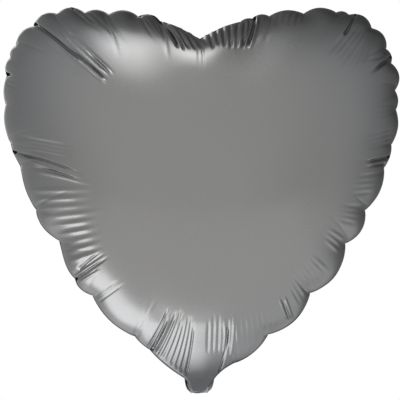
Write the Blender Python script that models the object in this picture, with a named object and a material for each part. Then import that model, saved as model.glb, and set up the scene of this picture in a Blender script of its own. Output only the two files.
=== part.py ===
"""Heart-shaped foil balloon, inflated: two heat-sealed foil panels, a self-closing film valve in the neck
and a filling tail that is creased and folded up behind the balloon.

Metres. +Z is up, +X is to the right seen from the front, and the front faces -Y. The origin is the middle of
the neck where it leaves the heart's tip, on the plane of the seam, which is where a ribbon is tied.
"""

import math

import bmesh
import bpy
import numpy as np

MM = 0.001

# Films. They are drawn thicker than the real 0.04 mm, so that each is a solid with a real wall.
FILM = 0.3 * MM
FILM_GAP = 0.3 * MM

# The heart. The seam's line on each side, in mm, from the notch at the top round the lobe to the neck, with
# the left side mirrored. The film gathers differently on the two sides.
RIGHT_OUTLINE = ((0, 339), (45, 357.5), (100, 364), (150, 363), (183, 336), (195, 292),
                 (193, 238), (165.5, 168), (111, 86), (51.5, 28.5), (15.5, 0))
LEFT_OUTLINE = ((0, 339), (44, 358), (92, 363.5), (145, 363), (182.5, 334), (193.5, 292), (190, 241),
                (178, 209), (163, 168), (139.5, 136), (125.5, 101), (106.5, 82), (52.5, 30.5), (15.5, 0))
HEART_CENTRE = (0.0, 215 * MM)
HALF_DEPTH = 86.5 * MM
SEAL_WIDTH = 3.5 * MM
FULL_HALF_WIDTH = 175 * MM
PROFILE_POWER = 1.425
NARROWING_BLEND = 0.08

# The scallops between the gathers of the seam, as (width along the seam, bulge outwards) in mm,
# from the notch at the top to the neck. The two sides gather differently.
SCALLOPS_RIGHT = ((44, 1), (12, 1.5), (17, 3), (34, 4.5), (32, 5), (13, 2), (26, 5), (25, 4.5), (15, 2.5),
                  (27, 6), (19, 2.5), (35, 3), (24, 2), (46, 5), (38, 7), (60, 10), (58, 8), (43, 4), (25, -1.5))
SCALLOPS_LEFT = ((43, 1.5), (22, 4), (29, 5), (24, 4), (27, 5), (27, 5), (26, 4), (13, 2), (18, 3),
                 (29, 2), (38, 3), (25, 1), (46, 2.5), (38, 5), (41, 3), (24, 3), (58, 6), (20, 1), (44, 1.5))
FLUTE_REACH = 60 * MM

# The neck below the heart's tip, down to the crease.
NECK_HALF_WIDTH = 15.5 * MM
NECK_HALF_WIDTH_AT_CREASE = 11 * MM
NECK_LENGTH = 15 * MM
POCKET_HALF_WIDTH = 11.7 * MM
POCKET_EDGE = 1.5 * MM
POCKET_FADE = (6 * MM, 25 * MM)

# The filling tail below the crease. It hangs straight when open, and rests folded up behind the heart.
TAIL_LENGTH = 45 * MM
TAIL_HALF_WIDTH_AT_CREASE = 13 * MM
TAIL_HALF_WIDTH_AT_MOUTH = 17 * MM
TAIL_CORNER = 4 * MM
CREASE_GAP = 1 * MM
TAIL_FOLD = math.radians(150)

# The valve: two strips of clear film. The back one is free above the neck.
VALVE_HALF_WIDTH = 11 * MM
VALVE_TOP = 70 * MM
VALVE_BOTTOM = -14 * MM
VALVE_FLAP_FOOT = 2 * MM
VALVE_CUT = 0.4 * MM
VALVE_NECK_HALF_WIDTH = 9.5 * MM

# Mesh fineness.
SEAM_STEP = 9 * MM
CURVE_STEPS = 24
RINGS = 7

SEAM_OFFSET = FILM_GAP / 2
VALVE_INNER = FILM_GAP / 2
VALVE_OUTER = VALVE_INNER + FILM
POCKET_OFFSET = VALVE_OUTER + FILM_GAP
CREASE_Y = POCKET_OFFSET + FILM + 0.35 * MM
CREASE_Z = -NECK_LENGTH - 0.5 * MM


def clear_scene():
    for obj in list(bpy.data.objects):
        bpy.data.objects.remove(obj)


def smooth_step(low, high, value):
    share = np.clip((np.asarray(value, float) - low) / (high - low), 0, 1)
    return share * share * (3 - 2 * share)


def smooth_line(outline):
    """A smooth curve through an outline in mm, as closely spaced points in metres."""
    points = np.array(outline, float) * MM
    tangents = np.gradient(points, axis=0)
    line = []
    for start, end, leave, arrive in zip(points, points[1:], tangents, tangents[1:]):
        for t in np.arange(CURVE_STEPS) / CURVE_STEPS:
            line.append((2 * t**3 - 3 * t**2 + 1) * start + (t**3 - 2 * t**2 + t) * leave
                        + (3 * t**2 - 2 * t**3) * end + (t**3 - t**2) * arrive)
    return np.array([*line, points[-1]])


def scalloped_side(outline, scallops, mirror):
    """(points on the seam's line, outward bulge vector at each) for one side of the heart, top notch to neck."""
    line = smooth_line(outline) * (mirror, 1)
    along = np.concatenate([[0], np.cumsum(np.linalg.norm(np.diff(line, axis=0), axis=1))])
    widths = np.array([width for width, _ in scallops], float)
    edges = np.concatenate([[0], np.cumsum(widths)]) / widths.sum() * along[-1]
    points, bulges = [], []
    for (_, bulge), low, high in zip(scallops, edges, edges[1:]):
        steps = max(3, round((high - low) / SEAM_STEP))
        for share in np.arange(steps) / steps:
            at = low + share * (high - low)
            ahead, behind = (np.array([np.interp(at + d, along, line[:, k]) for k in (0, 1)])
                             for d in (MM, -MM))
            direction = (ahead - behind) / np.linalg.norm(ahead - behind)
            outward = np.array([-direction[1], direction[0]]) * mirror
            points.append([np.interp(at, along, line[:, k]) for k in (0, 1)])
            bulges.append(outward * bulge * MM * 4 * share * (1 - share))
    return np.array(points), np.array(bulges)


def neck_stations():
    """The x of each column of the neck, left to right, as shares of its half width there."""
    return np.array([-1, -POCKET_HALF_WIDTH / NECK_HALF_WIDTH, -VALVE_HALF_WIDTH / NECK_HALF_WIDTH, -0.35,
                     0.35, VALVE_HALF_WIDTH / NECK_HALF_WIDTH, POCKET_HALF_WIDTH / NECK_HALF_WIDTH, 1])


def rim():
    """(x and z of each point of the seam's line, outward bulge of each), once round the heart:
    down the right side, along the neck's top from right to left, and up the left side."""
    right, right_bulge = scalloped_side(RIGHT_OUTLINE, SCALLOPS_RIGHT, 1)
    left, left_bulge = scalloped_side(LEFT_OUTLINE, SCALLOPS_LEFT, -1)
    neck = np.array([(share * NECK_HALF_WIDTH, 0) for share in neck_stations()[::-1]])
    points = np.vstack([right, neck, left[:0:-1]])
    bulges = np.vstack([right_bulge, np.zeros_like(neck), left_bulge[:0:-1]])
    return points, bulges


def roundness(points, outline):
    """How far inside a closed outline each point is, as a smooth field: nought on the outline, and on a disc
    of radius R it is (R*R - r*r) / 2R. It is pi over the integral of 1 / distance squared round the outline."""
    total = np.zeros(len(points))
    for start, end in zip(outline, np.roll(outline, -1, axis=0)):
        side = end - start
        to_start, to_end = start - points, end - points
        cross = to_start[:, 0] * to_end[:, 1] - to_start[:, 1] * to_end[:, 0]
        dot = (to_start * to_end).sum(axis=1)
        distance = np.maximum(abs(cross) / np.linalg.norm(side), 1e-9)
        total += np.arctan2(abs(cross), dot) / distance
    return math.pi / total


def dome_height(points, outline):
    """Height of the inflated film above the seam at each point, as a foil balloon takes: almost flat in the
    middle, square to the seam at the edge, and lower in proportion where the heart narrows to its tip."""
    line = smooth_line(RIGHT_OUTLINE)
    flank = line[np.argmax(line[:, 0]):][::-1]
    short_of_full = 1 - np.interp(points[:, 1], flank[:, 1], flank[:, 0]) / FULL_HALF_WIDTH
    narrowing = 1 - (short_of_full + np.hypot(short_of_full, NARROWING_BLEND)) / 2
    depth = roundness(points, outline)
    deepest = roundness(np.array([HEART_CENTRE]), outline)[0]
    profile = 1 - np.clip(1 - depth / (deepest * narrowing), 0, 1) ** PROFILE_POWER
    return HALF_DEPTH * narrowing * np.sqrt(profile)


def film_offset(points):
    """Distance of the film's inner face from the seam's plane before inflation: it makes room for the valve."""
    pocket = 1 - smooth_step(VALVE_HALF_WIDTH - POCKET_EDGE / 2, POCKET_HALF_WIDTH + POCKET_EDGE / 2, abs(points[:, 0]))
    near_neck = 1 - smooth_step(*POCKET_FADE, points[:, 1])
    return SEAM_OFFSET + (POCKET_OFFSET - SEAM_OFFSET) * pocket * near_neck


def add_material(obj, name, colour, metallic, roughness, alpha=1.0):
    material = bpy.data.materials.get(name) or bpy.data.materials.new(name)
    material.use_nodes = True
    shader = material.node_tree.nodes["Principled BSDF"]
    shader.inputs["Base Color"].default_value = (*colour, 1)
    shader.inputs["Metallic"].default_value = metallic
    shader.inputs["Roughness"].default_value = roughness
    shader.inputs["Alpha"].default_value = alpha
    obj.data.materials.append(material)


def foil(obj):
    add_material(obj, "satin_foil", (0.33, 0.33, 0.33), 1.0, 0.35)


def clear_film(obj):
    add_material(obj, "clear_film", (0.85, 0.88, 0.9), 0.0, 0.25, 0.4)


def add_sheet(name, vertices, faces, outward):
    """A film: a sheet of faces that is its inner side, thickened towards outward, +1 or -1 along Y."""
    mesh = bpy.data.meshes.new(name)
    mesh.from_pydata([tuple(v) for v in vertices], [], faces if outward > 0 else [f[::-1] for f in faces])
    obj = bpy.data.objects.new(name, mesh)
    bpy.context.scene.collection.objects.link(obj)
    shape = bmesh.new()
    shape.from_mesh(mesh)
    bmesh.ops.triangulate(shape, faces=[f for f in shape.faces if len(f.verts) > 4])
    shape.to_mesh(mesh)
    shape.free()
    thickness = obj.modifiers.new("Film", "SOLIDIFY")
    thickness.thickness = FILM
    thickness.offset = 1
    mesh.shade_smooth()
    return obj


def add_panel(name, outward):
    """One foil panel with its half of the seam's flange and its ply of the neck. outward is -1 for the front."""
    seam, bulge = rim()
    centre = np.array(HEART_CENTRE)
    inward = centre - seam
    reach = np.linalg.norm(inward, axis=1)[:, None]
    seal = seam + bulge + inward / reach * SEAL_WIDTH
    rings, heights = [seam + bulge, seal], [np.zeros(len(seam)), np.zeros(len(seam))]
    for ring in range(1, RINGS + 1):
        share = (ring / (RINGS + 1)) ** 1.6
        depth = SEAL_WIDTH + share * (reach - SEAL_WIDTH)
        flute = np.clip(1 - depth / FLUTE_REACH, 0, 1) ** 1.5
        points = seam + inward / reach * depth + bulge * flute
        rings.append(points)
        heights.append(dome_height(points, seal))
    flat = np.vstack([*rings, [centre]])
    height = np.concatenate([*heights, dome_height(centre[None], seal)])
    count = len(seam)
    faces = []
    for ring in range(len(rings) - 1):
        for i in range(count):
            a, b = ring * count + i, ring * count + (i + 1) % count
            faces.append((a, b, b + count, a + count))
    last = (len(rings) - 1) * count
    faces += [(last + i, last + (i + 1) % count, len(flat) - 1) for i in range(count)]

    first_of_neck = int(np.flatnonzero(np.isclose(seam[:, 1], 0) & np.isclose(seam[:, 0], NECK_HALF_WIDTH))[0])
    columns = neck_stations()[::-1]
    above = [first_of_neck + i for i in range(len(columns))]
    for z in (-NECK_LENGTH / 2, -NECK_LENGTH):
        half_width = np.interp(-z, [0, NECK_LENGTH], [NECK_HALF_WIDTH, NECK_HALF_WIDTH_AT_CREASE])
        row = np.array([(share * half_width, z) for share in columns])
        below = list(range(len(flat), len(flat) + len(row)))
        flat = np.vstack([flat, row])
        height = np.concatenate([height, np.zeros(len(row))])
        faces += [(above[i + 1], above[i], below[i], below[i + 1]) for i in range(len(row) - 1)]
        above = below
    y = outward * (film_offset(flat) + height)
    panel = add_sheet(name, np.column_stack([flat[:, 0], y, flat[:, 1]]), faces, outward)
    foil(panel)
    return panel


def add_film_plate(name, outline, y_low, y_high):
    """A flat film between two depths, from its outline in x and z, listed clockwise seen from the front."""
    shape = bmesh.new()
    face = shape.faces.new([shape.verts.new((x, y_low, z)) for x, z in outline])
    grown = bmesh.ops.extrude_face_region(shape, geom=[face])["geom"]
    bmesh.ops.translate(shape, vec=(0, y_high - y_low, 0), verts=[v for v in grown if isinstance(v, bmesh.types.BMVert)])
    bmesh.ops.recalc_face_normals(shape, faces=shape.faces)
    mesh = bpy.data.meshes.new(name)
    shape.to_mesh(mesh)
    shape.free()
    obj = bpy.data.objects.new(name, mesh)
    bpy.context.scene.collection.objects.link(obj)
    return obj


def tail_outline():
    """The tail in x and z below its crease, hanging straight, with rounded corners at the mouth."""
    mouth = -CREASE_GAP - TAIL_LENGTH
    corner = [(TAIL_HALF_WIDTH_AT_MOUTH - TAIL_CORNER * (1 - math.cos(a)), mouth + TAIL_CORNER * (1 - math.sin(a)))
              for a in np.radians([0, 30, 60, 90])]
    right = [(TAIL_HALF_WIDTH_AT_CREASE, -CREASE_GAP), *corner]
    return right + [(-x, z) for x, z in reversed(right)]


def add_tail():
    """Both plies of the tail, parented to an empty on the crease that folds them up behind the heart."""
    crease = bpy.data.objects.new("tail_crease", None)
    bpy.context.scene.collection.objects.link(crease)
    crease.location = (0, CREASE_Y, CREASE_Z)
    crease.rotation_euler = (TAIL_FOLD, 0, 0)
    inner, outer = FILM_GAP / 2, FILM_GAP / 2 + FILM
    for name, low, high in (("tail_front_ply", -outer, -inner), ("tail_back_ply", inner, outer)):
        ply = add_film_plate(name, tail_outline(), low, high)
        ply.parent = crease
        foil(ply)


def valve_outline(bottom, top):
    """A strip of the valve in x and z. It is narrower inside the neck, and flares above it."""
    levels = [z for z in (bottom, 0.0, 12 * MM, top) if bottom <= z <= top]
    half = np.interp(levels, [-NECK_LENGTH, 0, 12 * MM], [8 * MM, VALVE_NECK_HALF_WIDTH, VALVE_HALF_WIDTH])
    right = list(zip(half, levels))[::-1]
    return right + [(-x, z) for x, z in reversed(right)]


def add_valve():
    """The valve's front ply, the back ply's part in the neck, and its free flap above, hinged at the flap's foot."""
    front = add_film_plate("valve_front_ply", valve_outline(VALVE_BOTTOM, VALVE_TOP), -VALVE_OUTER, -VALVE_INNER)
    back = add_film_plate("valve_back_ply", valve_outline(VALVE_BOTTOM, VALVE_FLAP_FOOT - VALVE_CUT),
                          VALVE_INNER, VALVE_OUTER)
    hinge = bpy.data.objects.new("valve_hinge", None)
    bpy.context.scene.collection.objects.link(hinge)
    hinge.location = (0, VALVE_INNER, VALVE_FLAP_FOOT)
    flap = add_film_plate("valve_flap", [(x, z - VALVE_FLAP_FOOT) for x, z in valve_outline(VALVE_FLAP_FOOT, VALVE_TOP)],
                          0, FILM)
    flap.parent = hinge
    for film in (front, back, flap):
        clear_film(film)


def main():
    clear_scene()
    add_panel("front_panel", -1)
    add_panel("back_panel", 1)
    add_tail()
    add_valve()


main()
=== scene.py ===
"""Looks of the heart-shaped foil balloon: the film's gathered seam, puckers and creases, its satin metallic
surface, the folded tail, and the studio. Metres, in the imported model's frame: X right, Y back, Z up.
"""

import math
from collections import namedtuple

import bpy
import numpy as np
from mathutils import Matrix, Vector


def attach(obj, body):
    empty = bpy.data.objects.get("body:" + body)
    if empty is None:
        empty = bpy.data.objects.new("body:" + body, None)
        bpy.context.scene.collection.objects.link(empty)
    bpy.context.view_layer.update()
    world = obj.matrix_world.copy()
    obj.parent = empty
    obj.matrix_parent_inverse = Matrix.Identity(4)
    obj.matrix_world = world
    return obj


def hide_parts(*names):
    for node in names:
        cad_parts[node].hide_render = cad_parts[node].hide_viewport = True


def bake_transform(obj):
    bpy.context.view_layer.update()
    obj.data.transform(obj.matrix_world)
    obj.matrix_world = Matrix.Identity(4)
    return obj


MM = 0.001

# The heart's outline, and the width and bulge of its scallops, as the CAD part has them, in mm.
RIGHT_OUTLINE = ((0, 339), (45, 357.5), (100, 364), (150, 363), (183, 336), (195, 292),
                 (193, 238), (165.5, 168), (111, 86), (51.5, 28.5), (15.5, 0))
LEFT_OUTLINE = ((0, 339), (44, 358), (92, 363.5), (145, 363), (182.5, 334), (193.5, 292), (190, 241),
                (178, 209), (163, 168), (139.5, 136), (125.5, 101), (106.5, 82), (52.5, 30.5), (15.5, 0))
SCALLOPS_RIGHT = ((44, 1), (12, 1.5), (17, 3), (34, 4.5), (32, 5), (13, 2), (26, 5), (25, 4.5), (15, 2.5),
                  (27, 6), (19, 2.5), (35, 3), (24, 2), (46, 5), (38, 7), (60, 10), (58, 8), (43, 4),
                  (25, -1.5))
SCALLOPS_LEFT = ((43, 1.5), (22, 4), (29, 5), (24, 4), (27, 5), (27, 5), (26, 4), (13, 2), (18, 3),
                 (29, 2), (38, 3), (25, 1), (46, 2.5), (38, 5), (41, 3), (24, 3), (58, 6), (20, 1), (44, 1.5))
SCALLOP_ROUNDNESS = 0.8
HEART_CENTRE = (0.0, 215 * MM)
HALF_DEPTH = 86.5 * MM
FULL_HALF_WIDTH = 175 * MM
PROFILE_POWER = 1.425
PROFILE_RISE = 0.5
NARROWING_BLEND = 0.08

# Within this reach of the notch, the dome rises faster and stands fuller, by these shares.
NOTCH = (0.0, 339 * MM)
NOTCH_REACH = 40 * MM
NOTCH_STEEPER = 0.14
NOTCH_FULLER = 0.25

# The neck's front below the tip, from its right side round the bottom to its left, in mm.
NECK_OUTLINE = ((15.5, 0), (12, -5), (8.2, -10), (5.5, -13.2), (1, -15), (-4, -15.2), (-7.2, -13.8),
                (-8.8, -10), (-11.2, -5), (-15.5, 0))

# Where each film is flattened at the neck: flattest up to the first height, not at all from the second, and
# what share of its depth is left where it is flattest.
NECK_BACK = (-4 * MM, 34 * MM, 0.12)
NECK_FRONT = (-14 * MM, 60 * MM, 0.25)

SEAL_WIDTH = 1.1 * MM
SEAM_OFFSET = 0.25 * MM

# How far in from the rim the scallops' bulges reach, and how fast they fade.
FLUTE_REACH = 30 * MM
FLUTE_FADE = 1.5

# The seam's small waves: their counts round the rim, their least and greatest heights in mm, how far in they
# reach, and between which distances from the tip they grow.
WAVE_COUNTS = (9, 14, 23, 31, 38, 45, 53)
WAVE_HEIGHTS = (0.2, 0.5)
WAVE_PHASES = (0, 6.28)
WAVE_REACH = 14 * MM
WAVE_FROM_TIP = (20 * MM, 60 * MM)
WAVE_SEED = 3

# The films' meshes. Rings crowd together at the rim, and the last one stops short of the heart's middle.
CURVE_STEPS = 24
NECK_STRIDE = 4
RIM_STEP = 0.8 * MM
RINGS = 150
RING_CROWDING = 1.75
LAST_RING_GAP = 0.4
OUTLINE_STRIDE = 3


def smooth_step(low, high, value):
    """An even rise from 0 at low to 1 at high."""
    share = np.clip((np.asarray(value, float) - low) / (high - low), 0, 1)
    return share * share * (3 - 2 * share)


def smooth_line(outline):
    """A smooth curve through an outline in mm, as closely spaced points in metres."""
    points = np.array(outline, float) * MM
    tangents = np.gradient(points, axis=0)
    line = []
    for start, end, leave, arrive in zip(points, points[1:], tangents, tangents[1:]):
        for t in np.arange(CURVE_STEPS) / CURVE_STEPS:
            line.append((2 * t**3 - 3 * t**2 + 1) * start + (t**3 - 2 * t**2 + t) * leave
                        + (3 * t**2 - 2 * t**3) * end + (t**3 - t**2) * arrive)
    return np.array([*line, points[-1]])


def scalloped_side(outline, scallops, mirror):
    """For one side: points on the seam's line, the bulge vector at each, and its place in its scallop,
    from 0 to 1."""
    line = smooth_line(outline) * (mirror, 1)
    along = np.concatenate([[0], np.cumsum(np.linalg.norm(np.diff(line, axis=0), axis=1))])
    widths = np.array([width for width, _ in scallops], float)
    edges = np.concatenate([[0], np.cumsum(widths)]) / widths.sum() * along[-1]
    points, bulges, places = [], [], []
    for (_, bulge), low, high in zip(scallops, edges, edges[1:]):
        steps = max(6, round((high - low) / RIM_STEP))
        for share in np.arange(steps) / steps:
            at = low + share * (high - low)
            ahead, behind = (np.array([np.interp(at + d, along, line[:, k]) for k in (0, 1)])
                             for d in (MM, -MM))
            direction = (ahead - behind) / np.linalg.norm(ahead - behind)
            outward = np.array([-direction[1], direction[0]]) * mirror
            points.append([np.interp(at, along, line[:, k]) for k in (0, 1)])
            bulges.append(outward * bulge * MM * math.sin(math.pi * share) ** SCALLOP_ROUNDNESS)
            places.append(share)
    return np.array(points), np.array(bulges), np.array(places)


def rim():
    """The seam's line (x, z), bulge vectors and places in the scallops, once round the heart, clockwise."""
    right, right_bulge, right_place = scalloped_side(RIGHT_OUTLINE, SCALLOPS_RIGHT, 1)
    left, left_bulge, left_place = scalloped_side(LEFT_OUTLINE, SCALLOPS_LEFT, -1)
    neck = smooth_line(NECK_OUTLINE)[::NECK_STRIDE]
    points = np.vstack([right, neck, left[:0:-1]])
    bulges = np.vstack([right_bulge, np.zeros_like(neck), left_bulge[:0:-1]])
    places = np.concatenate([right_place, np.full(len(neck), 0.5), left_place[:0:-1]])
    return points, bulges, places


def roundness(points, outline):
    """How far inside a closed outline each point is, as a smooth field: nought on the outline, and on a
    disc of radius R it is (R*R - r*r) / 2R. It comes from the angles that the outline's sides fill."""
    total = np.zeros(len(points))
    for start, end in zip(outline, np.roll(outline, -1, axis=0)):
        side = end - start
        to_start, to_end = start - points, end - points
        cross = to_start[:, 0] * to_end[:, 1] - to_start[:, 1] * to_end[:, 0]
        dot = (to_start * to_end).sum(axis=1)
        distance = np.maximum(abs(cross) / np.linalg.norm(side), 1e-9)
        total += np.arctan2(abs(cross), dot) / distance
    return math.pi / total


def dome_height(points, outline):
    """Height of the inflated film above the seam, as in the CAD part, and rising faster behind the notch."""
    line = smooth_line(RIGHT_OUTLINE)
    flank = line[np.argmax(line[:, 0]):][::-1]
    short_of_full = 1 - np.interp(points[:, 1], flank[:, 1], flank[:, 0]) / FULL_HALF_WIDTH
    narrowing = 1 - (short_of_full + np.hypot(short_of_full, NARROWING_BLEND)) / 2
    depth = roundness(points, outline)
    deepest = roundness(np.array([HEART_CENTRE]), outline)[0]
    profile = 1 - np.clip(1 - depth / (deepest * narrowing), 0, 1) ** PROFILE_POWER
    near_notch = np.exp(-(np.linalg.norm(points - np.array(NOTCH), axis=1) / NOTCH_REACH) ** 2)
    rise = profile ** (PROFILE_RISE - NOTCH_STEEPER * near_notch)
    return HALF_DEPTH * narrowing * rise * (1 + NOTCH_FULLER * near_notch)


def grid_normals(grid):
    """Unit normals of a grid of points (ring, place round the rim, xyz), pointing out of the front."""
    along = np.roll(grid, -1, axis=1) - np.roll(grid, 1, axis=1)
    inward = np.gradient(grid, axis=0)
    normals = np.cross(along, inward)
    return normals / np.maximum(np.linalg.norm(normals, axis=2, keepdims=True), 1e-12)


def panel_grid():
    """The smooth front film as a grid of points, from the cut edge in towards the heart's middle."""
    seam, bulge, _ = rim()
    inward = np.array(HEART_CENTRE) - seam
    reach = np.linalg.norm(inward, axis=1)[:, None]
    inward = inward / reach
    outline = seam + bulge + inward * SEAL_WIDTH
    coarse = outline[::OUTLINE_STRIDE]
    rows, heights = [seam + bulge, outline], [np.zeros(len(seam)), np.zeros(len(seam))]
    for ring in range(1, RINGS + 1):
        share = (ring / (RINGS + LAST_RING_GAP)) ** RING_CROWDING
        depth = SEAL_WIDTH + share * (reach - SEAL_WIDTH)
        flute = np.clip(1 - depth / FLUTE_REACH, 0, 1) ** FLUTE_FADE
        points = seam + inward * depth + bulge * flute
        rows.append(points)
        heights.append(dome_height(points, coarse))
    flat, height = np.array(rows), np.array(heights)
    return np.dstack([flat[:, :, 0], -SEAM_OFFSET - height, flat[:, :, 1]])


def add_grid_mesh(name, grid, close=True):
    """A smooth-shaded film from a grid of points: rings of one length, closed at the middle."""
    rings, count = grid.shape[:2]
    vertices = [tuple(v) for v in grid.reshape(-1, 3)]
    faces = []
    for ring in range(rings - 1):
        for i in range(count):
            a, b = ring * count + i, ring * count + (i + 1) % count
            faces.append((a, a + count, b + count, b))
    if close:
        middle = len(vertices)
        vertices.append(tuple(grid[-1].mean(axis=0)))
        last = (rings - 1) * count
        faces += [(last + i, middle, last + (i + 1) % count) for i in range(count)]
    mesh = bpy.data.meshes.new(name)
    mesh.from_pydata(vertices, [], faces)
    mesh.shade_smooth()
    obj = bpy.data.objects.new(name, mesh)
    bpy.context.scene.collection.objects.link(obj)
    return obj


# A fan of creases lies between a first and a last line, each from the seam inwards as (x, z), (x, z) in mm.
# Then come the number of lines, their width and height in mm (a valley is below nought), how far they bow
# sideways in mm, and the shares of their length where they have risen and start to fade.
Creases = namedtuple("Creases", ("first", "last", "count", "width", "height", "bow", "rises"))


def crease(start, end, width, height, bow, rises):
    """One crease alone, between two points (x, z) in mm."""
    return Creases((start, end), (start, end), 1, width, height, bow, rises)


# The creases of both films, which gather at the same places of the seam.
CREASES = (
    # left lobe: the long fold, the fan of fine lines beside its end, and the short folds at the rim
    crease((-166, 355), (-86, 290), 1.1, -3.4, 0.5, (0.03, 0.85)),
    crease((-138, 329), (-88, 286), 0.8, 1.4, 0, (0.3, 0.85)),
    Creases(((-131, 345), (-84, 301)), ((-138, 337), (-90, 294)), 3, 1.0, -1.3, 0, (0.35, 0.75)),
    Creases(((-110, 320), (-82, 295)), ((-116, 314), (-88, 289)), 2, 1.0, 1.3, 0, (0.5, 0.8)),
    Creases(((-150, 332), (-106, 297)), ((-144, 318), (-112, 293)), 3, 1.8, -0.5, 0, (0.4, 0.7)),
    crease((-129, 372), (-109, 351), 1.2, -2.2, 0, (0.03, 0.35)),
    Creases(((-124, 364), (-100, 342)), ((-118, 364), (-96, 346)), 2, 1.2, -0.5, 0, (0.3, 0.6)),
    crease((-197, 305), (-182, 299), 1.3, -3.0, 0, (0.03, 0.4)),
    Creases(((-192, 302), (-172, 294)), ((-192, 294), (-174, 285)), 3, 1.5, -0.6, 0, (0.2, 0.6)),
    # beside the notch: the curved fold, the row of short puckers, and the fold that ends it
    crease((-47, 364), (-20, 321), 1.3, -3.4, 3, (0.02, 0.8)),
    crease((-43, 362), (-17, 320), 1.0, 1.2, 3, (0.2, 0.7)),
    crease((-39, 360), (-14, 318), 1.2, -2.2, 3, (0.2, 0.8)),
    Creases(((-53, 364), (-32, 336)), ((-62, 364), (-42, 338)), 3, 1.4, -0.7, 2, (0.2, 0.5)),
    Creases(((-24, 350), (-9, 321)), ((45, 356), (41, 322)), 10, 1.6, -1.5, 0, (0.3, 0.7)),
    crease((55, 364), (44, 322), 1.2, -3.4, 1.5, (0.02, 0.7)),
    crease((58, 360), (47, 321), 1.2, 2.0, 1.5, (0.15, 0.75)),
    crease((50, 360), (40, 323), 1.2, -2.0, 1.5, (0.2, 0.7)),
    # right lobe: faint stripes, the straight fold by the corner, and the slanting folds beside it
    Creases(((80, 364), (73, 346)), ((106, 364), (97, 346)), 5, 1.6, -0.5, 0, (0.3, 0.6)),
    crease((156, 364), (139, 337), 1.1, -2.8, 0, (0.03, 0.9)),
    Creases(((150, 350), (122, 316)), ((178, 344), (150, 298)), 7, 1.9, -1.1, 0, (0.25, 0.55)),
    crease((192, 321), (163, 298), 1.4, -2.8, 0, (0.03, 0.5)),
    crease((186, 322), (162, 303), 1.6, 0.8, 0, (0.2, 0.6)),
    crease((190, 221), (158, 215), 1.3, -2.8, 1, (0.02, 0.5)),
    crease((186, 218), (156, 211), 1.3, 1.0, 1, (0.1, 0.6)),
    crease((184, 214), (158, 209), 1.2, -1.8, 0, (0.02, 0.4)),
    Creases(((190, 248), (156, 238)), ((190, 234), (156, 225)), 4, 1.8, -0.6, 0, (0.2, 0.5)),
    Creases(((178, 204), (144, 199)), ((172, 186), (140, 183)), 4, 2.0, -0.4, 0, (0.4, 0.5)),
    Creases(((166, 172), (134, 172)), ((156, 154), (130, 160)), 4, 2.0, -0.4, 0, (0.4, 0.5)),
    # right flank
    Creases(((144, 138), (120, 152)), ((138, 126), (118, 142)), 3, 1.8, 0.6, 0, (0.4, 0.5)),
    Creases(((128, 106), (104, 128)), ((98, 72), (83, 98)), 9, 1.8, 0.6, 0, (0.45, 0.55)),
    Creases(((92, 60), (81, 88)), ((86, 60), (75, 88)), 2, 1.0, 1.3, 0, (0.15, 0.7)),
    crease((89, 60), (79, 86), 1.0, -1.5, 0, (0.02, 0.4)),
    Creases(((78, 54), (68, 82)), ((38, 28), (36, 72)), 8, 1.7, 0.55, 0, (0.4, 0.55)),
    crease((30, 18), (33, 69), 1.0, 1.1, -1.5, (0.3, 0.7)),
    crease((20, 6), (28, 66), 1.1, -2.5, -2.3, (0.05, 0.6)),
    crease((23, 14), (24, 64), 1.0, 1.3, -1.5, (0.3, 0.7)),
    Creases(((18, 24), (19, 68)), ((8, 26), (9, 68)), 3, 1.3, -0.9, 0, (0.4, 0.55)),
    # tip and left flank: the strong puckers beside the tip
    crease((-51, 32), (-30, 74), 0.9, -1.8, -1, (0.03, 0.8)),
    crease((-48, 28), (-28, 72), 1.2, -3.2, -1, (0.03, 0.4)),
    crease((-46, 28), (-28, 64), 1.1, 2.4, -1, (0.2, 0.6)),
    Creases(((-43, 24), (-21, 73)), ((-14, 4), (-6, 60)), 7, 1.5, -2.0, -1.5, (0.06, 0.7)),
    Creases(((-104, 82), (-76, 103)), ((-99, 78), (-72, 98)), 2, 1.1, -0.7, 0, (0.05, 0.6)),
    crease((-125, 98), (-84, 126), 1.1, -2.8, 0, (0.02, 0.45)),
    crease((-118, 97), (-94, 112), 1.0, 1.0, 0, (0.2, 0.6)),
    Creases(((-123, 105), (-91, 127)), ((-119, 110), (-92, 131)), 2, 1.2, -1.8, 0, (0.08, 0.5)),
    Creases(((-132, 116), (-86, 132)), ((-170, 187), (-98, 188)), 9, 2.5, 0.75, 0, (0.4, 0.6)),
    # left side: the long fold under the lobe, and the faint stripes above it
    crease((-191, 227), (-150, 215), 1.3, -3.6, 0, (0.02, 0.5)),
    crease((-170, 222), (-108, 201), 1.0, -2.2, 1, (0.2, 0.6)),
    crease((-162, 215), (-108, 196), 1.0, 1.3, 1, (0.15, 0.7)),
    crease((-162, 210), (-104, 194), 1.1, -1.3, 1, (0.2, 0.7)),
    crease((-160, 206), (-100, 192), 1.6, 1.1, 1, (0.3, 0.7)),
    Creases(((-172, 238), (-118, 228)), ((-164, 226), (-116, 216)), 4, 1.6, -0.8, 0, (0.25, 0.6)),
)

# Which draws of chance each film's creases and puckers have, and how high its puckers are.
FRONT_SEEDS = (1, 2)
BACK_SEEDS = (5, 4)
FRONT_PUCKERS = 0.5
BACK_PUCKERS = 0.8

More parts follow.
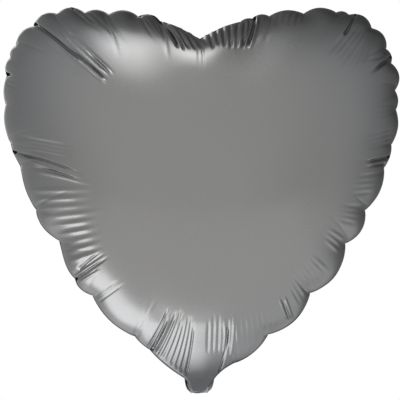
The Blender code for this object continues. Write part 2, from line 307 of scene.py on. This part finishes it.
# The folded tail: where its fold turns, in y and z, and then at some distances from the fold, in mm, how far
# its left and right edges reach and how full it is.
TAIL_BEND_CENTRE = (1.8 * MM, -14 * MM)
TAIL_BEND_RADIUS = 0.9 * MM
TAIL_FOLD = math.radians(150)
TAIL_LENGTH = 45 * MM
TAIL_STATIONS = (-9, 0, 3, 6, 11, 20, 38, 45)
TAIL_LEFT = (-9, -9.6, -12.4, -13.8, -14.8, -15.4, -16.5, -17)
TAIL_RIGHT = (8, 8.4, 11.6, 13.2, 14.4, 15.2, 16.5, 17)
TAIL_FULLNESS = (0.4, 0.35, 0.7, 1, 1.4, 1.6, 0.9, 0.35)

# Its upper end inside the neck, the rows and points of its mesh, and how full its edges are.
TAIL_TOP = -5 * MM
TAIL_INSIDE_ROWS = 11
TAIL_BEND_ROWS = 14
TAIL_STRAIGHT_ROWS = 55
TAIL_ACROSS = 41
TAIL_ROUNDNESS = 0.7

# The tail's pleats: place across it, width, and height in mm, of the drawn ones and of two at its edges; then
# where they rise and fade again, in mm from the fold, how much they fade, and how much they spread.
TAIL_SEED = 11
PLEAT_COUNT = 9
PLEAT_PLACES = (-0.85, 0.85)
PLEAT_WIDTHS = (0.05, 0.11)
PLEAT_HEIGHTS = (-0.9, 0.5)
EDGE_PLEATS = ((-0.86, 0.05, 1.1), (0.66, 0.07, -1.2))
PLEATS_RISE = (-3, 2)
PLEATS_FADE = (6, 34)
PLEATS_LOSS = 0.8
PLEATS_SPREAD = 0.1

# How much one line of a fan differs from the next in height and in length, and the share of its length, just
# outside the seam, where a crease starts to rise.
FAN_STRENGTHS = (0.7, 1.25)
FAN_LENGTHS = (0.88, 1.1)
LIFT_STARTS = -0.04

# Short puckers at every gather of the seam above the lowest height, on both films. A gather has one to three,
# spread sideways and splayed, whose lengths, widths, heights and bows in mm lie between two values.
GATHER_SEED = 7
GATHER_COUNTS = (1, 4)
GATHER_SPREAD = 5 * MM
GATHER_SPLAY = (0.6, 1.8)
GATHER_LENGTHS = (22, 55)
GATHER_WIDTHS = (1.3, 2.2)
GATHER_HEIGHTS = (-1, -0.4)
GATHER_BOWS = (-2, 2)
GATHER_RISES = (0.05, 0.25)
GATHER_LOWEST = 8 * MM


def crease_lift(points, start, end, width, height, bow, rises):
    """Lift of the film at each point (x, z) from one crease: a ridge, or a valley below nought."""
    along = end - start
    length = np.linalg.norm(along)
    along = along / length
    offset = points - start
    share = offset @ along / length
    sideways = offset @ np.array([-along[1], along[0]]) - bow * 4 * share * (1 - share)
    envelope = smooth_step(LIFT_STARTS, rises[0], share) * (1 - smooth_step(rises[1], 1, share))
    return height * envelope * np.exp(-(sideways / width) ** 2)


def group_lift(points, groups, seed):
    """Lift of the film from all lines of all groups of creases."""
    shuffle = np.random.default_rng(seed)
    lift = np.zeros(points.shape[:2])
    flat = points.reshape(-1, 2)
    for first, last, count, width, height, bow, rises in groups:
        for share in np.linspace(0, 1, count) if count > 1 else (0.5,):
            ends = (np.array(first) * (1 - share) + np.array(last) * share) * MM
            strength = 1 if count == 1 else shuffle.uniform(*FAN_STRENGTHS)
            reach = ends[1] - ends[0]
            end = ends[0] + reach * (1 if count == 1 else shuffle.uniform(*FAN_LENGTHS))
            one = crease_lift(flat, ends[0], end, width * MM, height * strength * MM, bow * MM, rises)
            lift += one.reshape(lift.shape)
    return lift


def gather_groups(seed, strength):
    """Short puckers that run in from each gather of the seam towards the heart's middle."""
    shuffle = np.random.default_rng(seed)
    seam, _, place = rim()
    centre = np.array(HEART_CENTRE)
    groups = []
    for i in np.flatnonzero((place == 0) & (seam[:, 1] > GATHER_LOWEST)):
        inward = centre - seam[i]
        inward /= np.linalg.norm(inward)
        for _ in range(shuffle.integers(*GATHER_COUNTS)):
            side = np.array([-inward[1], inward[0]]) * shuffle.normal(0, GATHER_SPREAD)
            start = seam[i] + side * GATHER_SPLAY[0]
            end = seam[i] + side * GATHER_SPLAY[1] + inward * shuffle.uniform(*GATHER_LENGTHS) * MM
            groups.append(crease(start / MM, end / MM, shuffle.uniform(*GATHER_WIDTHS),
                                 shuffle.uniform(*GATHER_HEIGHTS) * strength, shuffle.uniform(*GATHER_BOWS),
                                 GATHER_RISES))
    return groups


def seam_wave(grid, seed):
    """The small waves of the seam towards the front and the back, which both films share."""
    shuffle = np.random.default_rng(seed)
    count = grid.shape[1]
    around = np.arange(count) / count * 2 * math.pi
    wave = sum(shuffle.uniform(*WAVE_HEIGHTS) * np.sin(around * turns + shuffle.uniform(*WAVE_PHASES))
               for turns in WAVE_COUNTS)
    depth = np.linalg.norm(grid - grid[0], axis=2)
    away_from_tip = smooth_step(*WAVE_FROM_TIP, np.linalg.norm(grid[0][:, [0, 2]], axis=1))
    return wave * away_from_tip * MM * np.exp(-depth / WAVE_REACH)


def flatten_neck(grid, low, high, least):
    """A film that lies flatter at the neck: by least up to the height low, and not at all from high up."""
    share = least + (1 - least) * smooth_step(low, high, grid[:, :, 2])
    flat = grid.copy()
    flat[:, :, 1] = -SEAM_OFFSET + (grid[:, :, 1] + SEAM_OFFSET) * share
    return flat


def tail_path():
    """(y and z, direction) along the tail's middle: down inside the neck, round the fold, up to the mouth."""
    bend_y, bend_z = TAIL_BEND_CENTRE
    inside = [((bend_y - TAIL_BEND_RADIUS, z), (0, -1))
              for z in np.linspace(TAIL_TOP, bend_z, TAIL_INSIDE_ROWS + 1)[:-1]]
    bend = [((bend_y + TAIL_BEND_RADIUS * math.cos(a), bend_z + TAIL_BEND_RADIUS * math.sin(a)),
             (-math.sin(a), math.cos(a))) for a in np.linspace(math.pi, math.pi + TAIL_FOLD, TAIL_BEND_ROWS)]
    start, way = np.array(bend[-1][0]), np.array(bend[-1][1])
    straight = [(start + way * length, way)
                for length in np.linspace(0, TAIL_LENGTH, TAIL_STRAIGHT_ROWS + 1)[1:]]
    rows = [*inside, *bend, *straight]
    return np.array([row[0] for row in rows]), np.array([row[1] for row in rows])


def tail_pleats():
    """(place across the tail, width, height in mm) of each pleat."""
    shuffle = np.random.default_rng(TAIL_SEED)
    drawn = [(shuffle.uniform(*PLEAT_PLACES), shuffle.uniform(*PLEAT_WIDTHS), shuffle.uniform(*PLEAT_HEIGHTS))
             for _ in range(PLEAT_COUNT)]
    return [*drawn, *EDGE_PLEATS]


def tail_grid():
    """The tail as a flattened tube of film: (row along the path, place round the tube, xyz)."""
    middle, way = tail_path()
    along = np.concatenate([[0], np.cumsum(np.linalg.norm(np.diff(middle, axis=0), axis=1))])
    along -= along[TAIL_INSIDE_ROWS + TAIL_BEND_ROWS - 1]
    side = np.column_stack([way[:, 1], -way[:, 0]])
    across = np.sin(np.linspace(-math.pi / 2, math.pi / 2, TAIL_ACROSS))
    loop = np.concatenate([across, across[-2:0:-1]])
    face = np.concatenate([np.full(TAIL_ACROSS, -1.0), np.full(TAIL_ACROSS - 2, 1.0)])
    pleats = tail_pleats()
    rows = []
    for (y, z), (side_y, side_z), at in zip(middle, side, along):
        left, right = (np.interp(at / MM, TAIL_STATIONS, edge) * MM for edge in (TAIL_LEFT, TAIL_RIGHT))
        fullness = np.interp(at / MM, TAIL_STATIONS, TAIL_FULLNESS) * MM
        x = left + (right - left) * (loop + 1) / 2
        puff = fullness * (1 - loop ** 2) ** TAIL_ROUNDNESS * face
        fade = smooth_step(*PLEATS_RISE, at / MM) * (1 - PLEATS_LOSS * smooth_step(*PLEATS_FADE, at / MM))
        spread = 1 + PLEATS_SPREAD * at / TAIL_LENGTH
        pleat = sum(height * np.exp(-((loop - centre * spread) / width) ** 2)
                    for centre, width, height in pleats) * MM * fade * (1 - loop ** 6)
        lift = puff + pleat
        rows.append(np.column_stack([x, y + side_y * lift, z + side_z * lift]))
    return np.array(rows)


def crumple(grid, lift):
    """The film moved along its own normals."""
    normals = grid_normals(grid)
    normals *= np.where(normals[:, :, 1:2] > 0, -1, 1)
    return grid + normals * lift[:, :, None]


# The camera, square to the front: its lens and sensor in mm, how wide it sees at the balloon in metres, and
# its place across and up.
LENS = 120
SENSOR = 36
VIEW_WIDTH = 0.4
CAMERA_X = 0.5 * MM
CAMERA_Z = 178 * MM

FLOOR_SIZE = 3
FLOOR_PLACE = (0, -1.2, -1)
FLOOR_COLOUR = (0.8, 0.8, 0.8, 1)
FLOOR_ROUGHNESS = 0.9
FLOOR_GLOW = 0.65
WHITE = (1, 1, 1, 1)

# The studio's brightness by height, towards the back right corner up high, and from side to side; the
# ground's from side to side, and where it takes over, by height; and the softboxes: name, target, place, size
# in metres, watts, and spread in degrees.
WORLD_BY_HEIGHT = ((-1, 1), (0.15, 0.98), (0.5, 0.93), (0.76, 0.8), (0.94, 0.64), (1, 0.64))
FAR_CORNER = (0.35, 0.85, 0.4)
WORLD_TO_CORNER = ((-0.85, 0.95), (-0.32, 0.92), (0.4, 0.58), (0.77, 0.28), (0.94, 0.12), (1, 0.12))
WORLD_BY_SIDE = ((-1, 0.6), (-0.9, 0.66), (-0.66, 0.79), (-0.3, 0.97), (0, 1), (0.4, 0.82), (0.7, 0.8),
                 (1, 0.8))
WORLD_GROUND = ((-1, 0.85), (-0.35, 1), (-0.1, 0.45), (0.05, 0.4), (0.3, 0.7), (0.75, 0.9), (1, 0.75))
GROUND_SHARE = ((-1, 1), (-0.6, 1), (-0.35, 0), (1, 0))
SOFTBOXES = (("top_left", (-0.05, -0.08, 0.32), (-0.035, -0.225, 0.6), (0.16, 0.38), 0.072, 68),
             ("low_left", (-0.08, -0.05, 0.06), (-0.27, -0.02, -0.2), (0.32, 0.24), 0.38, 170),
             ("low_middle", (-0.02, -0.03, 0.04), (-0.07, -0.12, -0.4), (0.2, 0.34), 0.085, 90),
             ("behind", (-0.02, 0.05, 0.2), (-0.3, 0.9, 0.45), (0.5, 0.5), 0.25, 100))

# Colours of the film: in the middle, at the rim, and in the neck, where it is darker as painted shade; and of
# the seam, in the middle and at the rim, both far darker than the film as painted shade for the dark outline.
# Then the heights between which the neck's painted shade fades out, and the distances from the middle between
# which the rim's colour sets in.
SATIN = (0.262, 0.26, 0.256, 1)
SATIN_COOL = (0.252, 0.256, 0.262, 1)
SATIN_NECK_PAINTED_SHADE = (0.118, 0.121, 0.124, 1)
DARK_SEAM_PAINTED_SHADE = (0.07, 0.071, 0.073, 1)
PALER_SEAM_PAINTED_SHADE = (0.09, 0.09, 0.092, 1)
NECK_SHADE = (34 * MM, 2 * MM)
TINT_CENTRE = (0, 0, 0.2)
TINT_REACH = (0.1, 0.19)
FOIL_ROUGHNESS = 0.27
SEAM_ROUGHNESS = 0.35
TAIL_ROUGHNESS = 0.25
HAZE_SPREAD = 0.01
HAZE_SCALE = 60
GRAIN_SCALE = 900
GRAIN_STRENGTH = 0.03
GRAIN_DEPTH = 0.05 * MM

# The noise between these two levels is stretched over a roughness's whole range.
NOISE_RANGE = (0.3, 0.7)

CLEAR_FILM = (0.8, 0.82, 0.82, 1)
CLEAR_ROUGHNESS = (0.16, 0.3)
CLEAR_IOR = 1.5
CLEAR_TRANSMISSION = 0.75
CLOUD_SCALE = 120


def noise_of(nodes, links, scale, detail):
    """Smooth noise from 0 to 1 over the object itself, scaled in cells per metre."""
    where = nodes.new("ShaderNodeTexCoord")
    noise = nodes.new("ShaderNodeTexNoise")
    noise.inputs["Scale"].default_value = scale
    noise.inputs["Detail"].default_value = detail
    links.new(where.outputs["Object"], noise.inputs["Vector"])
    return noise.outputs["Fac"]


def ranged(nodes, links, source, low, high, to_low, to_high):
    """A number eased from one range to another."""
    ranged_node = nodes.new("ShaderNodeMapRange")
    ranged_node.interpolation_type = "SMOOTHSTEP"
    for name, value in (("From Min", low), ("From Max", high), ("To Min", to_low), ("To Max", to_high)):
        ranged_node.inputs[name].default_value = value
    links.new(source, ranged_node.inputs["Value"])
    return ranged_node.outputs["Result"]


def tinted(nodes, links, factor, first, second):
    """A colour between two, either of which may be another node's output."""
    mix = nodes.new("ShaderNodeMix")
    mix.data_type = "RGBA"
    links.new(factor, mix.inputs["Factor"])
    for name, colour in (("A", first), ("B", second)):
        if isinstance(colour, tuple):
            mix.inputs[name].default_value = colour
        else:
            links.new(colour, mix.inputs[name])
    return mix.outputs["Result"]


def film_material(name, colour, rim_colour, neck_painted_shade_colour, roughness):
    """Metallised film: a tint that cools towards the rim, a neck darkened as painted shade, a satin haze and
    a faint grain.
    """
    material = bpy.data.materials.new(name)
    material.use_nodes = True
    nodes, links = material.node_tree.nodes, material.node_tree.links
    shader = nodes["Principled BSDF"]
    where = nodes.new("ShaderNodeTexCoord")
    across = nodes.new("ShaderNodeVectorMath")
    across.operation = "MULTIPLY"
    across.inputs[1].default_value = (1, 0, 1)
    links.new(where.outputs["Object"], across.inputs[0])
    reach = nodes.new("ShaderNodeVectorMath")
    reach.operation = "DISTANCE"
    reach.inputs[1].default_value = TINT_CENTRE
    links.new(across.outputs["Vector"], reach.inputs[0])
    near_rim = ranged(nodes, links, reach.outputs["Value"], *TINT_REACH, 0, 1)
    body = tinted(nodes, links, near_rim, colour, rim_colour)
    # Towards the bottom, below the neck's heights, the colour turns to the neck colour, which on the films is
    # painted shade.
    split = nodes.new("ShaderNodeSeparateXYZ")
    links.new(where.outputs["Object"], split.inputs[0])
    in_neck_painted_shade = ranged(nodes, links, split.outputs["Z"], *NECK_SHADE, 0, 1)
    links.new(tinted(nodes, links, in_neck_painted_shade, body, neck_painted_shade_colour), shader.inputs["Base Color"])
    haze = noise_of(nodes, links, HAZE_SCALE, 3)
    hazy = ranged(nodes, links, haze, *NOISE_RANGE, roughness - HAZE_SPREAD, roughness + HAZE_SPREAD)
    links.new(hazy, shader.inputs["Roughness"])
    grain = nodes.new("ShaderNodeBump")
    grain.inputs["Strength"].default_value = GRAIN_STRENGTH
    grain.inputs["Distance"].default_value = GRAIN_DEPTH
    links.new(noise_of(nodes, links, GRAIN_SCALE, 2), grain.inputs["Height"])
    links.new(grain.outputs["Normal"], shader.inputs["Normal"])
    shader.inputs["Metallic"].default_value = 1
    return material


def clear_film_material():
    """Clear polyethylene film of the valve, slightly cloudy."""
    material = bpy.data.materials.new("clear_film")
    material.use_nodes = True
    nodes, links = material.node_tree.nodes, material.node_tree.links
    shader = nodes["Principled BSDF"]
    cloud = noise_of(nodes, links, CLOUD_SCALE, 2)
    links.new(ranged(nodes, links, cloud, *NOISE_RANGE, *CLEAR_ROUGHNESS), shader.inputs["Roughness"])
    shader.inputs["Base Color"].default_value = CLEAR_FILM
    shader.inputs["IOR"].default_value = CLEAR_IOR
    shader.inputs["Transmission Weight"].default_value = CLEAR_TRANSMISSION
    return material


def add_camera():
    """The camera of the main view, square to the balloon's front."""
    data = bpy.data.cameras.new("camera")
    data.lens = LENS
    data.sensor_width = SENSOR
    camera = bpy.data.objects.new("camera", data)
    bpy.context.scene.collection.objects.link(camera)
    camera.location = (CAMERA_X, -VIEW_WIDTH * LENS / SENSOR, CAMERA_Z)
    camera.rotation_euler = (math.pi / 2, 0, 0)
    bpy.context.scene.camera = camera


def add_floor():
    """A plain white studio floor, lit evenly."""
    bpy.ops.mesh.primitive_plane_add(size=FLOOR_SIZE, location=FLOOR_PLACE)
    floor = bpy.context.object
    floor.name = "floor"
    material = bpy.data.materials.new("floor")
    material.use_nodes = True
    shader = material.node_tree.nodes["Principled BSDF"]
    shader.inputs["Base Color"].default_value = FLOOR_COLOUR
    shader.inputs["Roughness"].default_value = FLOOR_ROUGHNESS
    shader.inputs["Emission Color"].default_value = WHITE
    shader.inputs["Emission Strength"].default_value = FLOOR_GLOW
    floor.data.materials.append(material)


def ramp_of(nodes, links, source, stops):
    """A grey ramp over a number from -1 to 1."""
    scaled = nodes.new("ShaderNodeMapRange")
    scaled.inputs["From Min"].default_value = -1
    links.new(source, scaled.inputs["Value"])
    ramp = nodes.new("ShaderNodeValToRGB")
    elements = ramp.color_ramp.elements
    while len(elements) < len(stops):
        elements.new(0.5)
    for element, (at, level) in zip(elements, stops):
        element.position = (at + 1) / 2
        element.color = (level, level, level, 1)
    links.new(scaled.outputs["Result"], ramp.inputs["Fac"])
    return ramp.outputs["Color"]


def multiplied(nodes, links, first, second):
    """The product of two colours."""
    mix = nodes.new("ShaderNodeMix")
    mix.data_type = "RGBA"
    mix.blend_type = "MULTIPLY"
    mix.inputs["Factor"].default_value = 1
    links.new(first, mix.inputs["A"])
    links.new(second, mix.inputs["B"])
    return mix.outputs["Result"]


def add_world():
    """A studio room: pale towards the camera's side, darker overhead, at the sides and behind. The camera
    itself sees plain white."""
    world = bpy.data.worlds.new("studio")
    bpy.context.scene.world = world
    world.use_nodes = True
    nodes, links = world.node_tree.nodes, world.node_tree.links
    where = nodes.new("ShaderNodeTexCoord")
    split = nodes.new("ShaderNodeSeparateXYZ")
    links.new(where.outputs["Generated"], split.inputs[0])
    by_height = ramp_of(nodes, links, split.outputs["Z"], WORLD_BY_HEIGHT)
    corner = nodes.new("ShaderNodeVectorMath")
    corner.operation = "DOT_PRODUCT"
    links.new(where.outputs["Generated"], corner.inputs[0])
    corner.inputs[1].default_value = FAR_CORNER
    by_corner = ramp_of(nodes, links, corner.outputs["Value"], WORLD_TO_CORNER)
    by_side = ramp_of(nodes, links, split.outputs["X"], WORLD_BY_SIDE)
    upright = multiplied(nodes, links, by_height, by_corner)
    above = multiplied(nodes, links, upright, by_side)
    ground = ramp_of(nodes, links, split.outputs["X"], WORLD_GROUND)
    ground_share = ramp_of(nodes, links, split.outputs["Z"], GROUND_SHARE)
    room = tinted(nodes, links, ground_share, above, ground)
    path = nodes.new("ShaderNodeLightPath")
    seen = tinted(nodes, links, path.outputs["Is Camera Ray"], room, WHITE)
    links.new(seen, nodes["Background"].inputs["Color"])


def add_softbox(name, target, place, size, watts, spread):
    """An area light at a place, shining at a target."""
    data = bpy.data.lights.new(name, "AREA")
    data.shape = "RECTANGLE"
    data.size, data.size_y = size
    data.energy = watts
    data.spread = math.radians(spread)
    light = bpy.data.objects.new(name, data)
    bpy.context.scene.collection.objects.link(light)
    light.location = place
    back = (Vector(place) - Vector(target)).normalized()
    right = Vector((1, 0, 0))
    right = (right - back * right.dot(back)).normalized()
    light.rotation_euler = Matrix((right, back.cross(right), back)).transposed().to_euler()
    light.visible_camera = False


def add_lights():
    """The softboxes."""
    for softbox in SOFTBOXES:
        add_softbox(*softbox)


def film(name, node, grid, foil, seam, mirror):
    """One of the two films, with its seam in the seam's material, which is painted dark as shade, in place of
    its CAD node.
    """
    obj = add_grid_mesh(name, grid[:, ::-1] * (1, -1, 1) if mirror else grid)
    obj.data.materials.append(foil)
    obj.data.materials.append(seam)
    in_seam = np.arange(len(obj.data.polygons)) < grid.shape[1]
    obj.data.polygons.foreach_set("material_index", in_seam.astype(np.int32))
    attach(obj, "envelope")
    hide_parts(node)
    return obj


def film_grids():
    """The front film's points, and the back film's as if it were the front one."""
    grid = panel_grid()
    wave = seam_wave(grid, WAVE_SEED)
    places = grid[:, :, [0, 2]]
    made = []
    for neck, seeds, strength, towards in ((NECK_FRONT, FRONT_SEEDS, FRONT_PUCKERS, 1),
                                           (NECK_BACK, BACK_SEEDS, BACK_PUCKERS, -1)):
        puckers = group_lift(places, gather_groups(GATHER_SEED, strength), seeds[1])
        film_grid = crumple(flatten_neck(grid, *neck), group_lift(places, CREASES, seeds[0]) + puckers)
        film_grid[:, :, 1] += towards * wave
        made.append(film_grid)
    return made


def dress_valve():
    """The valve's three nodes keep the CAD part's shapes, and get the clear film."""
    clear = clear_film_material()
    for node in ("valve_front_ply", "valve_back_ply", "valve_flap"):
        for slot in bpy.data.objects[node].material_slots:
            slot.material = clear


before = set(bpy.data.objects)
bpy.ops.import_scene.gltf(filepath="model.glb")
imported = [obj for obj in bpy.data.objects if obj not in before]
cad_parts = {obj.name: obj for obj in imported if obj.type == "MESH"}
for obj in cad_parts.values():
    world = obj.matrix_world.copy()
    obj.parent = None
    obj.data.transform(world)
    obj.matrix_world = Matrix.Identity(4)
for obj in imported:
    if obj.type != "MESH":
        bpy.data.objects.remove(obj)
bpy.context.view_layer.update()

bpy.context.scene.view_settings.view_transform = "Standard"
front_grid, back_grid = film_grids()
foil = film_material("satin_foil", SATIN, SATIN_COOL, SATIN_NECK_PAINTED_SHADE, FOIL_ROUGHNESS)
# The seam is a real band of foil, but its colour is painted far darker than the film's, as painted shade for
# the dark line round the outline.
seam = film_material("seam_foil_painted_shade", DARK_SEAM_PAINTED_SHADE, PALER_SEAM_PAINTED_SHADE, DARK_SEAM_PAINTED_SHADE, SEAM_ROUGHNESS)
dress_valve()
for name, node, slot, made, mirror in (("front_film", "front_panel", "front_foil", front_grid, False),
                                       ("back_film", "back_panel", "back_foil", back_grid, True)):
    sheet = film(name, node, made, foil, seam, mirror)
tail = add_grid_mesh("tail_film", tail_grid(), close=False)
tail.data.materials.append(film_material("tail_foil", SATIN, SATIN_COOL, SATIN_COOL, TAIL_ROUGHNESS))
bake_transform(tail)
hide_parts("tail_front_ply", "tail_back_ply")
add_camera()
add_floor()
add_world()
add_lights()
